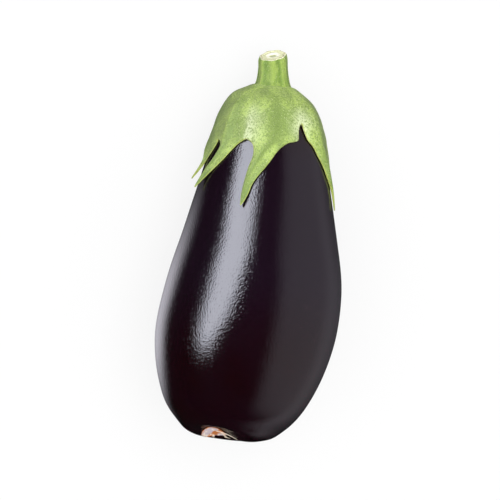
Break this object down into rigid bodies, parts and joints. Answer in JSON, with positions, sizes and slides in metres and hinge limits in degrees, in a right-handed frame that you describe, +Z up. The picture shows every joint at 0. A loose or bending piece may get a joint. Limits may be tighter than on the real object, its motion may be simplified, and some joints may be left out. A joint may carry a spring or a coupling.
{
  "type": "eggplant",
  "caption": "Globe eggplant as picked, lying on its side: glossy dark purple fruit, green calyx with pointed sepals, short cut stem and a corky blossom scar.",
  "frame": {"origin": "middle of the small flat spot on the underside that the fruit rests on", "axes": "+Z up from the surface, +Y along the lying fruit towards its stem, +X to the right seen from above with the stem pointing away"},
  "size_m": [0.0877, 0.1895, 0.0852],
  "materials": {
    "purple_skin": "smooth waxy near-black purple skin, glossy, with a fine grain",
    "calyx_green": "matt light green leaf, finely fuzzy, paler towards the middle",
    "stem_green": "matt ribbed green stem with a cream cut face and a green pith",
    "cork": "dry cracked cork, grey-lilac to orange-brown"
  },
  "bodies": {
    "root": {"fruit": "purple_skin", "calyx": "calyx_green", "stem": "stem_green", "blossom_scar": "cork"}
  },
  "joints": []
}
